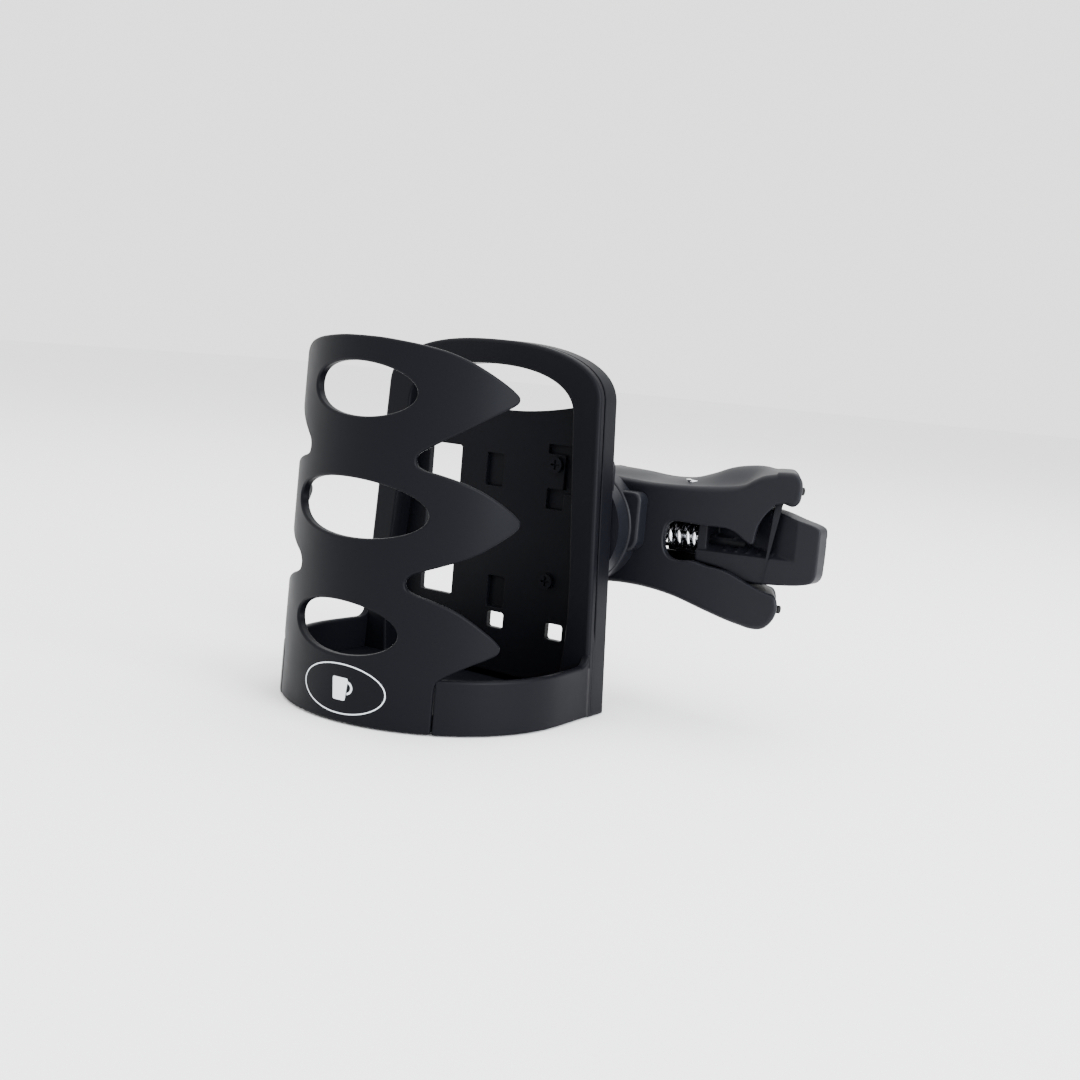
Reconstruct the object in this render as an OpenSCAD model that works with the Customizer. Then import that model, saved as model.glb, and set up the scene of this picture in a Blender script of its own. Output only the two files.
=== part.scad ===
// Clamp-on cup holder: slotted front cage that slides out of a D-shaped tray,
// an arched back frame, and a swivelling squeeze clamp with a spring-loaded jaw.
// Millimetres. +Z up, +X towards the clamp, -Y towards the front of the cup.

/* [Cage] */
// outside radius of the cage at its foot
cage_radius = 44.5; // [40:0.1:50]
// how far the cage draws in over its height
cage_taper = 2.3; // [0:0.1:5]
// wall thickness of the cage and the tray
wall = 2.4; // [1.6:0.1:3.5]
// height of the cage at the front
cage_height = 103.9; // [80:0.1:130]
// travel of the cage out of the tray
cage_travel = 12; // [0:1:20]

/* [Frame] */
// overall height of the back frame
frame_height = 106.3; // [80:0.1:130]
// half width of the back frame at its foot
frame_half_foot = 44.2; // [38:0.1:50]
// half width where the arch begins
frame_half_arch = 39.4; // [34:0.1:46]
// height where the arch begins
arch_start = 89.4; // [70:0.1:100]
// front face of the back frame
frame_front = 16.2; // [10:0.1:24]
// back face of the rear housing
frame_back = 26.0; // [20:0.1:32]
// height of the tray wall
tray_height = 15; // [10:0.5:25]
// top of the tray floor
floor_top = 5; // [3:0.1:8]

/* [Clamp] */
// swivel axis, across
swivel_x = 26; // [20:0.5:32]
// swivel axis, height
swivel_z = 53.5; // [40:0.5:65]
// radius of the swivel hub
hub_radius = 17.5; // [12:0.5:20]
// near face of the clamp fork
fork_near = 37.8; // [34:0.1:42]
// far face of the clamp cover
fork_far = 53.8; // [48:0.1:60]
// travel of the thumb slide
slide_travel = 11; // [4:0.5:14]
// reach of the jaws behind the clamp
jaw_reach = 72; // [62:0.5:80]
// thickness of the rubber jaw pads
pad = 1.5; // [1:0.1:3]

/* [Hardware] */
// swivel bolt radius
bolt_r = 3; // [2:0.1:4]
// slide spring outside radius
spring_r = 4; // [3:0.1:5]
// slide spring wire diameter
wire = 1.2; // [0.8:0.1:1.6]
// turns of the slide spring
turns = 8; // [5:0.5:9]

/* [Hidden] */
$fn = 64;
seam_y = -34.8;
gap = 0.3;
front_layer = 2.6;
groove = 0.6;
back_layer_y = frame_front + front_layer + groove;
recess_y = 23.6;
cavity_near = fork_near + 2.2;
cavity_far = fork_far - 2.3;
spring_y = 44.8;
spring_x0 = 40;
spring_x1 = 61.5;
black = [0.09, 0.09, 0.10];
steel = [0.75, 0.76, 0.78];
rubber = [0.05, 0.05, 0.05];

// radius of the cage's outside at height z
function cage_r(z) = cage_radius - cage_taper * z / cage_height;

// half outline of an arch: straight side from (w0, z0) to (w1, z1), superellipse to (0, z2)
function arch_half(w0, z0, w1, z1, z2, n) = concat(
  [[w0, z0]],
  [for (i = [0:16]) let (t = 90 * i / 16)
    [w1 * pow(cos(t), 2 / n), z1 + (z2 - z1) * pow(sin(t), 2 / n)]]
);

function mirrored(p) = [for (i = [len(p) - 1:-1:0]) [-p[i][0], p[i][1]]];

function arch(w0, z0, w1, z1, z2, n) =
  concat(arch_half(w0, z0, w1, z1, z2, n), mirrored(arch_half(w0, z0, w1, z1, z2, n)));

// Catmull-Rom curve through the points of p, with k steps per span
function spline(p, k) = [
  for (i = [1:len(p) - 3], j = [0:k - 1]) let (t = j / k)
    0.5 * (2 * p[i] + (p[i + 1] - p[i - 1]) * t
      + (2 * p[i - 1] - 5 * p[i] + 4 * p[i + 1] - p[i + 2]) * t * t
      + (3 * p[i] - p[i - 1] - 3 * p[i + 1] + p[i + 2]) * t * t * t)
];

// extrude an (x, z) outline along y, from y0 to y1
module slab(y0, y1) {
  translate([0, y1, 0])
    rotate([90, 0, 0])
      linear_extrude(height = y1 - y0)
        children();
}

// cylinder along +y
module rod_y(x, z, r, y0, y1, n = 48) {
  translate([x, y0, z])
    rotate([-90, 0, 0])
      cylinder(r = r, h = y1 - y0, $fn = n);
}

// cylinder along +x
module rod_x(y, z, r, x0, x1, n = 48) {
  translate([x0, y, z])
    rotate([0, 90, 0])
      cylinder(r = r, h = x1 - x0, $fn = n);
}

// cone of the cage's outside, taken in by inset
module cage_cone(inset, z0, z1) {
  translate([0, 0, z0])
    cylinder(r1 = cage_r(z0) - inset, r2 = cage_r(z1) - inset, h = z1 - z0, $fn = 96);
}

module block(x0, x1, y0, y1, z0, z1) {
  translate([x0, y0, z0])
    cube([x1 - x0, y1 - y0, z1 - z0]);
}

// ---- holder ----

module frame_outline(inset) {
  polygon(arch(frame_half_foot - inset, 0, frame_half_arch - inset, arch_start,
    frame_height - inset, 2.4));
}

// opening inside the rim: straight up from the tray floor, arched at the top
module rim_opening(w_top, z_top) {
  half = concat(
    [[33.2, floor_top], [34.5, 24]],
    arch_half(33.9, 38, w_top, 85, z_top, 2.4)
  );
  polygon(concat(half, mirrored(half)));
}

module tray_sides(inset, z0, z1) {
  slab(0, frame_front)
    polygon([
      [-frame_half_foot + inset, z0], [frame_half_foot - inset, z0],
      [frame_half_foot - inset - 0.3, z1], [-frame_half_foot + inset + 0.3, z1]
    ]);
}

module tray_plan(inset, z0, z1) {
  union() {
    intersection() {
      cage_cone(inset, z0, z1);
      block(-50, 50, -50, 0.01, z0, z1);
    }
    intersection() {
      tray_sides(inset, z0, z1);
      block(-50, 50, 0, frame_front, z0, z1);
    }
  }
}

// straight-sided hollow above the tray floor
module tray_hollow() {
  r = cage_r(tray_height) - wall;
  intersection() {
    union() {
      translate([0, 0, floor_top])
        cylinder(r = r, h = tray_height, $fn = 96);
      block(-r, r, 0, 20, floor_top, tray_height + 1);
    }
    block(-50, 50, -50, frame_front, floor_top, tray_height + 2);
  }
}

module back_frame() {
  color(black)
  difference() {
    union() {
      difference() {
        tray_plan(0, 0, tray_height);
        tray_hollow();
        block(-50, 50, -50, seam_y + gap, -1, tray_height + 1);
      }
      intersection() {
        cage_cone(wall + 0.35, 0, floor_top);
        block(-27.6, 27.6, -50, seam_y + gap, 0, floor_top);
      }
      slab(frame_front, frame_front + front_layer)
        difference() {
          frame_outline(0);
          rim_opening(30.4, 99);
        }
      slab(frame_front + front_layer, back_layer_y)
        difference() {
          frame_outline(1.2);
          rim_opening(30.4, 99);
        }
    }
    block(-17, 17, -50, 16, 1.0, 3.6);
    block(-12.4, 12.4, -50, -38.0, 3.5, floor_top + 1);
    block(-3.3, 3.3, -1, 15, 0.55, 1.1);
    for (s = [-1, 1]) {
      rod_y(s * 35.3, 78, 1.25, 17.4, 20);
      rod_y(s * 38.4, 30, 1.25, 17.4, 20);
    }
  }
}

// edge of the recessed wall under the top window
function smile(x) = 85.5 + 3.6 * pow(x / 29.2, 2);

module back_wall_outline() {
  difference() {
    polygon(concat(
      [[-38, 1], [38, 1], [36, 60]],
      [for (i = [0:20]) let (x = 33 - 3.3 * i) [x, smile(min(abs(x), 30))]],
      [[-36, 60]]
    ));
    translate([-26.5, 26])
      square([12.5, 47]);
    for (x = [0.7, 22.5])
      translate([x, 18.5])
        square([6, 4.9]);
  }
}

module rear_housing() {
  color(black)
  difference() {
    union() {
      slab(back_layer_y, frame_back)
        difference() {
          frame_outline(0);
          rim_opening(30.4, 99);
        }
      intersection() {
        slab(recess_y, frame_back)
          back_wall_outline();
        slab(recess_y, frame_back)
          frame_outline(0.5);
      }
      slab(back_layer_y, frame_back)
        translate([-frame_half_foot + 2, 0])
          square([2 * frame_half_foot - 4, floor_top]);
    }
    block(19, 25, recess_y - 1, 25, 57.6, 63.6);
    block(18.4, 28.2, recess_y - 1, 25, 74, 76.8);
    block(24.6, 28.2, recess_y - 1, 25, 62.6, 74.1);
    block(-4, 2.4, recess_y - 1, 24.8, 62, 72);
    block(0, 6.3, recess_y - 1, 25.2, 24.8, 34.4);
    for (s = [-1, 1]) {
      rod_y(s * 35.3, 78, 1.3, 19, 27);
      rod_y(s * 38.4, 30, 1.3, 19, 27);
      rod_y(s * 35.3, 78, 2.8, 23, 27);
      rod_y(s * 38.4, 30, 2.8, 23, 27);
      rod_y(22, swivel_z + s * 17.5, 1.3, 23, 27);
    }
    rod_y(swivel_x, swivel_z, 3.6, 23, 27);
  }
}

// pan-head screw along +y, head at the y1 end
module screw_back(x, z, r, head_r, y0, y1, head) {
  difference() {
    union() {
      rod_y(x, z, r, y0, y1 - head + 0.01, 24);
      rod_y(x, z, head_r, y1 - head, y1, 32);
    }
    for (a = [0, 90])
      translate([x, y1, z])
        rotate([0, a, 0])
          cube([head_r * 1.3, 1.4, 0.6], center = true);
  }
}

// the same screw facing the front, head at the y0 end
module screw_front(x, z, r, head_r, y0, y1, head) {
  translate([0, y0 + y1, 0])
    mirror([0, 1, 0])
      screw_back(x, z, r, head_r, y0, y1, head);
}

module housing_screws() {
  color(steel)
  for (s = [-1, 1]) {
    screw_back(s * 35.3, 78, 1.2, 2.7, 17.5, 25.4, 2.3);
    screw_back(s * 38.4, 30, 1.2, 2.7, 17.5, 25.4, 2.3);
  }
}

module detent_spring() {
  color(steel)
  block(-3, 3, 0, 14, 0.6, 1.0);
}

module swivel_socket() {
  color(black)
  difference() {
    union() {
      slab(frame_back, 28.6)
        translate([13, 31.5])
          offset(r = 4, $fn = 24)
            translate([4, 4])
              square([18, 36]);
      rod_y(swivel_x, swivel_z, hub_radius, frame_back, 31.5, 96);
    }
    rod_y(swivel_x, swivel_z, bolt_r + 0.1, 25, 33);
    rod_y(swivel_x, swivel_z, 6.2, 25, 29.9, 6);
    for (s = [-1, 1])
      rod_y(22, swivel_z + s * 17.5, 1.25, 25, 28);
  }
}

module socket_screws() {
  color(steel)
  for (s = [-1, 1])
    screw_front(22, swivel_z + s * 17.5, 1.2, 2.3, 22.1, 27.9, 1.5);
}

module friction_washer() {
  color(rubber)
  difference() {
    rod_y(swivel_x, swivel_z, 13, 31.5, 32.5, 64);
    rod_y(swivel_x, swivel_z, bolt_r + 0.3, 31, 33);
  }
}

module swivel_bolt() {
  color(steel)
  union() {
    rod_y(swivel_x, swivel_z, 6.0, 26.3, 29.8, 6);
    rod_y(swivel_x, swivel_z, bolt_r, 29.7, 52.4);
  }
}

module swivel_washer() {
  color(steel)
  difference() {
    rod_y(swivel_x, swivel_z, 7, 44.08, 45.0);
    rod_y(swivel_x, swivel_z, bolt_r + 0.2, 43, 46);
  }
}

module wave_washer() {
  color(steel)
  difference() {
    union() {
      rod_y(swivel_x, swivel_z, 6.2, 45.0, 45.9);
      for (a = [0:120:240])
        translate([swivel_x, 0, swivel_z])
          rotate([0, a, 0])
            block(4, 5.8, 45.8, 46.2, -1.2, 1.2);
    }
    rod_y(swivel_x, swivel_z, bolt_r + 0.2, 44, 47);
  }
}

module swivel_nut() {
  color(steel)
  difference() {
    rod_y(swivel_x, swivel_z, 5.7, 46.25, 51.2, 6);
    rod_y(swivel_x, swivel_z, bolt_r + 0.02, 46, 52);
  }
}

// ---- front cage ----

// side outline of the cage in (y, z): three fingers and two rounded gaps on each side
module cage_outline() {
  curve = spline([
    [-46, cage_height], [-42.2, cage_height], [-34.8, 101.4], [-28.6, 97.5], [-21.2, 92.2],
    [-20.2, 90.3], [-21.4, 88.6], [-29, 83.3], [-35.5, 77.8], [-38.5, 73.5], [-38.0, 70.6],
    [-32.1, 68.1], [-26, 64.6], [-19.0, 59.6], [-17.9, 57.5], [-19.4, 54.9], [-27.4, 49.2],
    [-35.4, 44.6], [-39.2, 41.2], [-38.6, 37.9], [-31.7, 33.9], [-22.6, 26.6],
    [-20.5, 24], [-22, 21.6], [-28.1, 18.4], [-33.2, 15.8], [-34.8, 13.4], [-34.8, 8]
  ], 4);
  polygon(concat(curve, [[seam_y, 13], [seam_y, 0], [-50, 0], [-50, cage_height]]));
}

module oval_cut(z, a, b) {
  slab(-50, -20)
    translate([0, z])
      scale([a, b])
        circle(r = 1, $fn = 48);
}

module front_cage() {
  color(black)
  difference() {
    intersection() {
      difference() {
        cage_cone(0, 0, cage_height);
        translate([0, 0, -0.01])
          cylinder(r1 = cage_r(0) - wall, r2 = cage_r(cage_height) - wall,
            h = cage_height + 0.02, $fn = 96);
      }
      rotate([0, 0, 90])
        rotate([90, 0, 0])
          linear_extrude(height = 120, center = true)
            cage_outline();
    }
    oval_cut(89.9, 17.9, 7.3);
    oval_cut(58.2, 22.6, 8.0);
    oval_cut(25.8, 18.2, 7.3);
    for (s = [-1, 1])
      rod_y(s * 7, 7.6, 0.95, -43.2, -40);
    block(-50, 50, seam_y, 0, -1, tray_height + 0.4);
  }
}

module cage_tongue() {
  color(black)
  difference() {
    union() {
      intersection() {
        cage_cone(wall + 0.03, 0, 12);
        block(-16.7, 16.7, -45, 2.5, 1.2, 3.4);
      }
      difference() {
        intersection() {
          cage_cone(wall + 0.03, 0, 12);
          block(-12, 12, -45, -37.5, 1.2, 10.8);
        }
        cage_cone(wall + 2.0, 0, 12);
      }
    }
    for (s = [-1, 1])
      rod_y(s * 7, 7.6, 1.0, -44, -36);
    for (y = [-8, -4, 0])
      block(-2.6, 2.6, y, y + 1.2, 1.1, 1.7);
  }
}

module tongue_screws() {
  color(steel)
  for (s = [-1, 1])
    screw_back(s * 7, 7.6, 0.9, 1.9, -43.0, -37.3, 1.4);
}

// ---- clamp ----

// outer outline of the fork in (x, z)
module fork_outline() {
  top = spline([
    [20, 70.6], [26, 70.9], [46, 69.8], [54.5, 70.2], [64, 73.1], [71, 75.4], [79, 76],
    [86, 75.9], [91.2, 76.4], [93.8, 74.9], [94.2, 70.8], [93.0, 66.5], [90, 66.4]
  ], 4);
  low = spline([
    [85, 42.5], [89.6, 41.6], [91.1, 39.3], [90.3, 34.5], [87.2, 31.2], [82.8, 30.7],
    [66.4, 33.8], [55.5, 36.1], [40, 37.0], [26, 36.1], [20, 36.4]
  ], 4);
  union() {
    polygon(concat(top, [[93.0, 66.5], [89.6, 41.6]], low, [[26, 36.1]]));
    translate([swivel_x, swivel_z])
      circle(r = 17.4, $fn = 72);
  }
}

// mouth between the two arms
module mouth_outline() {
  curve = spline([
    [96, 66.4], [93.2, 66.5], [88.7, 67.3], [84.2, 65.2], [81.4, 60.8], [80.9, 55.4],
    [79, 54.6], [75, 58], [66, 58.8], [56, 58.6]
  ], 4);
  polygon(concat([[99, 66]], curve,
    [[56, 58.6], [53, 57], [52, 54], [52, 49.5], [54, 47.2], [65, 46.6],
     [76, 44.2], [82, 42.2], [89.6, 41.5], [99, 41]]));
}

// slanted planes that end the two arms, set back towards the far side
module tip_cut() {
  translate([94.6, fork_near, swivel_z])
    rotate([0, 0, 28])
      block(0, 30, -5, 40, 0, 40);
  translate([91.3, fork_near, swivel_z])
    rotate([0, 0, 28])
      block(0, 30, -5, 40, -40, 0);
}

module clamp_body() {
  color(black)
  difference() {
    union() {
      slab(fork_near, cavity_far)
        fork_outline();
      rod_y(swivel_x, swivel_z, hub_radius, 32.6, fork_near + 0.01, 96);
      block(30, 45, 33.4, fork_near + 0.01, 48, 65);
    }
    slab(fork_near - 1, cavity_near + 1)
      mouth_outline();
    block(spring_x0, 100, cavity_near, cavity_far + 1, 41.7, 65.3);
    block(36, 50, 48.9, cavity_far + 1, 47.6, 59.4);
    block(80, 100, cavity_near - 0.1, cavity_far + 1, 41.2, 66.4);
    rod_y(swivel_x, swivel_z, bolt_r + 0.08, 30, 60);
    rod_y(swivel_x, swivel_z, 8, 44, 60);
    rod_x(spring_y, swivel_z, 1.5, 35, 41);
    translate([76, fork_near - 9, 88])
      rotate([-32, 0, 0])
        rotate([0, 90, 0])
          cylinder(r = 17, h = 27, center = true, $fn = 64);
    translate([56.5, 45.8, 60])
      cylinder(r = 1.5, h = 20, $fn = 32);
    translate([56.5, 45.8, 68.4])
      cylinder(r = 3.1, h = 8, $fn = 32);
    for (p = cover_points)
      rod_y(p[0], p[1], 1.0, 45, 60, 24);
    rod_x(45.8, 71, 1.2, 88.1, 99, 24);
    rod_x(45.8, 36.5, 1.2, 84.7, 99, 24);
    tip_cut();
  }
}

cover_points = [[44, 67.4], [75, 69.6], [44, 39.4], [75, 37.2]];

module clamp_cover() {
  color(black)
  difference() {
    union() {
      slab(cavity_far, fork_far)
        difference() {
          fork_outline();
          polygon(concat(
            [[99, 66.8], [93, 66.6], [85, 66.4], [77, 63.5], [73.4, 58]],
            [[73.4, 50], [77, 44.5], [85, 41.9], [99, 41.4]]
          ));
          translate([36, swivel_z - 6])
            square([24, 12]);
        }
      block(65.5, 69, fork_far - 0.01, jaw_reach, 46, 61);
      slab(fork_far - 0.01, 60)
        translate([65.5, 46])
          square([7, 4]);
    }
    rod_y(swivel_x, swivel_z, 8, 50, 60);
    tip_cut();
    for (p = cover_points) {
      rod_y(p[0], p[1], 1.05, 50, 60, 24);
      rod_y(p[0], p[1], 2.1, fork_far - 1.2, 60, 24);
    }
  }
}

module cover_screws() {
  color(steel)
  for (p = cover_points)
    screw_back(p[0], p[1], 0.95, 2.0, 45.5, fork_far - 0.1, 1.05);
}

module spring_rod() {
  color(steel)
  rod_x(spring_y, swivel_z, 1.45, 35.2, 60.3, 32);
}

module stop_screw() {
  color(steel)
  translate([56.5, 45.8, 0])
  difference() {
    union() {
      translate([0, 0, 62.9])
        cylinder(r = 1.25, h = 6, $fn = 32);
      translate([0, 0, 68.5])
        cylinder(r = 2.8, h = 1.7, $fn = 32);
    }
    translate([0, 0, 70])
      cylinder(r = 1.4, h = 1.6, center = true, $fn = 6);
  }
}

module tip_bumpers() {
  color(rubber) {
    rod_x(45.8, 71, 1.15, 88.2, 90.9, 24);
    rod_x(45.8, 36.5, 1.15, 84.8, 87.5, 24);
  }
}

module fixed_jaw_pad() {
  color(rubber)
  difference() {
    block(65.5 - pad, 65.5, fork_far + 1.2, jaw_reach - 0.4, 46.4, 60.6);
    for (z = [49:3:58])
      block(60, 65.5 - pad + 0.5, 50, 80, z, z + 0.9);
  }
}

// one round wire swept along the spring's helix
module slide_spring() {
  ring = 10;
  steps = 14 * turns;
  mean = spring_r - wire / 2;
  x_a = spring_x0 + wire / 2 + 0.05;
  pitch = (spring_x1 - spring_x0 - wire - 0.1) / turns;
  points = [
    for (i = [0:steps], j = [0:ring - 1])
      let (a = 360 * turns * i / steps, b = 360 * j / ring, q = mean + wire / 2 * cos(b))
        [x_a + pitch * turns * i / steps + wire / 2 * sin(b),
         spring_y + q * cos(a), swivel_z + q * sin(a)]
  ];
  sides = [
    for (i = [0:steps - 1], j = [0:ring - 1])
      let (k = (j + 1) % ring)
        [i * ring + j, (i + 1) * ring + j, (i + 1) * ring + k, i * ring + k]
  ];
  color(steel)
  polyhedron(points, concat(
    sides,
    [[for (j = [0:ring - 1]) j]],
    [[for (j = [ring - 1:-1:0]) steps * ring + j]]
  ));
}

// ---- slide ----

module slide_outline() {
  polygon([
    [62, 47.2], [65, 46.9], [72, 45.2], [80, 43.6], [90, 44.6], [97.6, 46.1], [99.2, 47.4],
    [99.8, 49.6], [99.8, 59.6], [99.3, 61.6], [92, 63.3], [84, 64.8], [62, 64.8]
  ]);
}

module thumb_slide() {
  color(black)
  difference() {
    union() {
      difference() {
        slab(cavity_near + 0.1, cavity_far - 0.1)
          slide_outline();
        // finger scoop: above the sloping floor and in front of the leaning back wall
        difference() {
          translate([50, cavity_near, 50.4])
            rotate([31, 0, 0])
              block(0, 60, -20, 30, 0, 40);
          translate([62, 49.4, 30])
            rotate([0, 0, -15.5])
              block(-20, 60, 0, 30, 0, 50);
        }
        translate([80, cavity_far, 30])
          rotate([0, 0, -15.2])
            block(-2, 40, 0, 20, 0, 50);
      }
      block(61.6, 65, cavity_near + 0.3, 50, 47.4, 59.2);
      block(47.6, 63, 49.05, cavity_far - 0.1, 48.0, 59.0);
    }
    rod_x(spring_y, swivel_z, 1.9, 60, 75, 32);
    block(60, 69.6, 45.8 - 1.8, 45.8 + 1.8, 62.5, 66);
    for (s = [-1, 1]) {
      rod_y(50.5, swivel_z + 3 * s, 1.25, 48, 53, 24);
      rod_y(50.5, swivel_z + 3 * s, 2.1, 48, 50.1, 24);
    }
  }
}

module moving_jaw() {
  color(black)
  difference() {
    union() {
      block(48, 53, cavity_far - 0.1, fork_far + 0.5, 48.2, 58.8);
      block(48, 53, fork_far + 0.3, jaw_reach, 46, 61);
      slab(fork_far + 0.3, 62)
        polygon([[44.6, 48.5], [48.1, 48.5], [48.1, 58.5], [44.6, 58.5]]);
    }
    for (s = [-1, 1])
      rod_y(50.5, swivel_z + 3 * s, 1.2, 50, 60.5, 24);
  }
}

module jaw_screws() {
  color(steel)
  for (s = [-1, 1])
    screw_front(50.5, swivel_z + 3 * s, 1.15, 2.0, 49.1, 60.3, 0.95);
}

module moving_jaw_pad() {
  color(rubber)
  difference() {
    block(53, 53 + pad, fork_far + 1.2, jaw_reach - 0.4, 46.4, 60.6);
    for (z = [49:3:58])
      block(53 + pad - 0.5, 60, 50, 80, z, z + 0.9);
  }
}

back_frame();
rear_housing();
housing_screws();
detent_spring();
swivel_socket();
socket_screws();
friction_washer();
swivel_bolt();
swivel_washer();
wave_washer();
swivel_nut();
front_cage();
cage_tongue();
tongue_screws();
clamp_body();
clamp_cover();
cover_screws();
spring_rod();
stop_screw();
tip_bumpers();
fixed_jaw_pad();
slide_spring();
thumb_slide();
moving_jaw();
jaw_screws();
moving_jaw_pad();
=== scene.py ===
"""Looks for the clamp-on cup holder.

The moulded black plastic parts are rebuilt as smooth, radiused meshes around the CAD frame.
Outlines and depths are in millimetres. Lights, floor and camera are in metres.
"""

import math

import bpy
import numpy as np
from mathutils import Matrix, Vector
from mathutils.geometry import delaunay_2d_cdt


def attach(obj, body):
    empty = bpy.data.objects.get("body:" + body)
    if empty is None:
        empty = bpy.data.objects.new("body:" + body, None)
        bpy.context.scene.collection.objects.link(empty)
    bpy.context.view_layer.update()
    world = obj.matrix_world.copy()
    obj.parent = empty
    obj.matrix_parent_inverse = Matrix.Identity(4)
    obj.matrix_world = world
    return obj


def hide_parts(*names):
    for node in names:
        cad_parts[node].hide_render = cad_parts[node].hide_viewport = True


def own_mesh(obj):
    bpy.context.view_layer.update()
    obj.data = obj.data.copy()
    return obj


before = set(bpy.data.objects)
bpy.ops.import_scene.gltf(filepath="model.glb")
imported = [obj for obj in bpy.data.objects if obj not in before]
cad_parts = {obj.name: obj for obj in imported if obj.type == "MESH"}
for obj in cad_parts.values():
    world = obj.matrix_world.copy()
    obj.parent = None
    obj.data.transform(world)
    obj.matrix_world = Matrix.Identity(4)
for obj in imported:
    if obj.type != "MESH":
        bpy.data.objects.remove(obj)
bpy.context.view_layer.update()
MM = 0.001
TAU = 2 * math.pi


# ---------------------------------------------------------------- outlines


def smooth(t):
    """Eases from 0 to 1 as t goes from 0 to 1."""
    t = np.clip(t, 0.0, 1.0)
    return t * t * (3 - 2 * t)


def curve(points, closed=False, n=16):
    """Centripetal Catmull-Rom curve through the points."""
    p = [np.array(q, float) for q in points]
    if closed:
        p = [p[-1]] + p + [p[0], p[1]]
    else:
        p = [2 * p[0] - p[1]] + p + [2 * p[-1] - p[-2]]
    out = []
    for a, b, c, d in zip(p, p[1:], p[2:], p[3:]):
        t0 = 0.0
        t1 = t0 + math.sqrt(np.linalg.norm(b - a)) + 1e-9
        t2 = t1 + math.sqrt(np.linalg.norm(c - b)) + 1e-9
        t3 = t2 + math.sqrt(np.linalg.norm(d - c)) + 1e-9
        for k in range(n):
            t = t1 + (t2 - t1) * k / n
            a1 = (t1 - t) / (t1 - t0) * a + (t - t0) / (t1 - t0) * b
            a2 = (t2 - t) / (t2 - t1) * b + (t - t1) / (t2 - t1) * c
            a3 = (t3 - t) / (t3 - t2) * c + (t - t2) / (t3 - t2) * d
            b1 = (t2 - t) / (t2 - t0) * a1 + (t - t0) / (t2 - t0) * a2
            b2 = (t3 - t) / (t3 - t1) * a2 + (t - t1) / (t3 - t1) * a3
            out.append((t2 - t) / (t2 - t1) * b1 + (t - t1) / (t2 - t1) * b2)
    if not closed:
        out.append(p[-2])
    return np.array(out)


def even(points, step, closed=True):
    """The same path with points at an even spacing."""
    p = np.array(points, float)
    if closed:
        p = np.vstack([p, p[:1]])
    keep = np.r_[True, np.linalg.norm(np.diff(p, axis=0), axis=1) > 1e-7]
    p = p[keep]
    s = np.r_[0, np.cumsum(np.linalg.norm(np.diff(p, axis=0), axis=1))]
    n = max(8, int(round(s[-1] / step)))
    t = np.linspace(0, s[-1], n + 1)
    q = np.c_[np.interp(t, s, p[:, 0]), np.interp(t, s, p[:, 1])]
    return q[:-1] if closed else q


def filleted(points, radii, step=0.35):
    """Closed polygon with its corners rounded. radii is one number or one for each corner."""
    p = np.array(points, float)
    n = len(p)
    radii = [radii] * n if np.isscalar(radii) else radii
    out = []
    for i in range(n):
        a, b, c = p[i - 1], p[i], p[(i + 1) % n]
        u, v = (a - b), (c - b)
        lu, lv = np.linalg.norm(u), np.linalg.norm(v)
        u, v = u / lu, v / lv
        half = math.acos(max(-1, min(1, float(u @ v)))) / 2
        r = radii[i]
        if r <= 0 or half > 1.55:
            out.append(b)
            continue
        t = min(r / math.tan(half), 0.49 * lu, 0.49 * lv)
        r = t * math.tan(half)
        centre = b + (u + v) / np.linalg.norm(u + v) * (r / math.sin(half))
        p0, p1 = b + u * t, b + v * t
        a0 = math.atan2(*(p0 - centre)[::-1])
        a1 = math.atan2(*(p1 - centre)[::-1])
        d = (a1 - a0 + math.pi) % TAU - math.pi
        k = max(3, int(abs(d) * r / step) + 1)
        turn = a0 + d * np.arange(k + 1) / k
        out += list(centre + r * np.c_[np.cos(turn), np.sin(turn)])
    return np.array(out)


def dense(points, step=1.0):
    """Adds points on long straight runs and keeps every corner point."""
    p = np.array(points, float)
    out = []
    for a, b in zip(p, np.roll(p, -1, axis=0)):
        k = max(1, int(np.linalg.norm(b - a) / step))
        out += [a + (b - a) * j / k for j in range(k)]
    return np.array(out)


def circle(cx, cz, r, n=96):
    return ellipse(cx, cz, r, r, n)


def ellipse(cx, cz, a, b, n=120):
    t = np.arange(n) * TAU / n
    return np.c_[cx + a * np.cos(t), cz + b * np.sin(t)]


def box2(x0, x1, z0, z1, r=0.6, step=1.0):
    """Rectangle with rounded corners."""
    return dense(filleted([(x0, z0), (x1, z0), (x1, z1), (x0, z1)], r), step)


def half_arch(w0, z0, w1, z1, z2, n, step=0.8):
    """Right half of an arch: straight side, then a superellipse up to the crown."""
    t = np.linspace(0, math.pi / 2, 200)
    top = np.c_[w1 * np.cos(t) ** (2 / n), z1 + (z2 - z1) * np.sin(t) ** (2 / n)]
    return even(np.vstack([[[w0, z0]], top]), step, closed=False)


def both(half):
    """Mirrors a right half outline that runs from the foot to the crown."""
    h = np.array(half)
    left = h[::-1].copy()
    left[:, 0] *= -1
    if abs(h[-1, 0]) < 1e-6:
        left = left[1:]
    return np.vstack([h, left])


# ---------------------------------------------------------------- meshes


def area(p):
    """Signed area, positive where the loop runs anticlockwise."""
    q = np.roll(p, -1, axis=0)
    return 0.5 * float(np.sum(p[:, 0] * q[:, 1] - q[:, 0] * p[:, 1]))


def inward(p):
    """Unit-offset normals to the left of the path, mitred at corners."""
    e = np.roll(p, -1, axis=0) - p
    e /= np.linalg.norm(e, axis=1)[:, None] + 1e-12
    n = np.c_[-e[:, 1], e[:, 0]]
    m = n + np.roll(n, 1, axis=0)
    length = np.linalg.norm(m, axis=1)[:, None] + 1e-12
    m /= length
    c = np.clip(np.sum(m * n, axis=1), 0.55, 1)[:, None]
    return m / c, m


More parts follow.
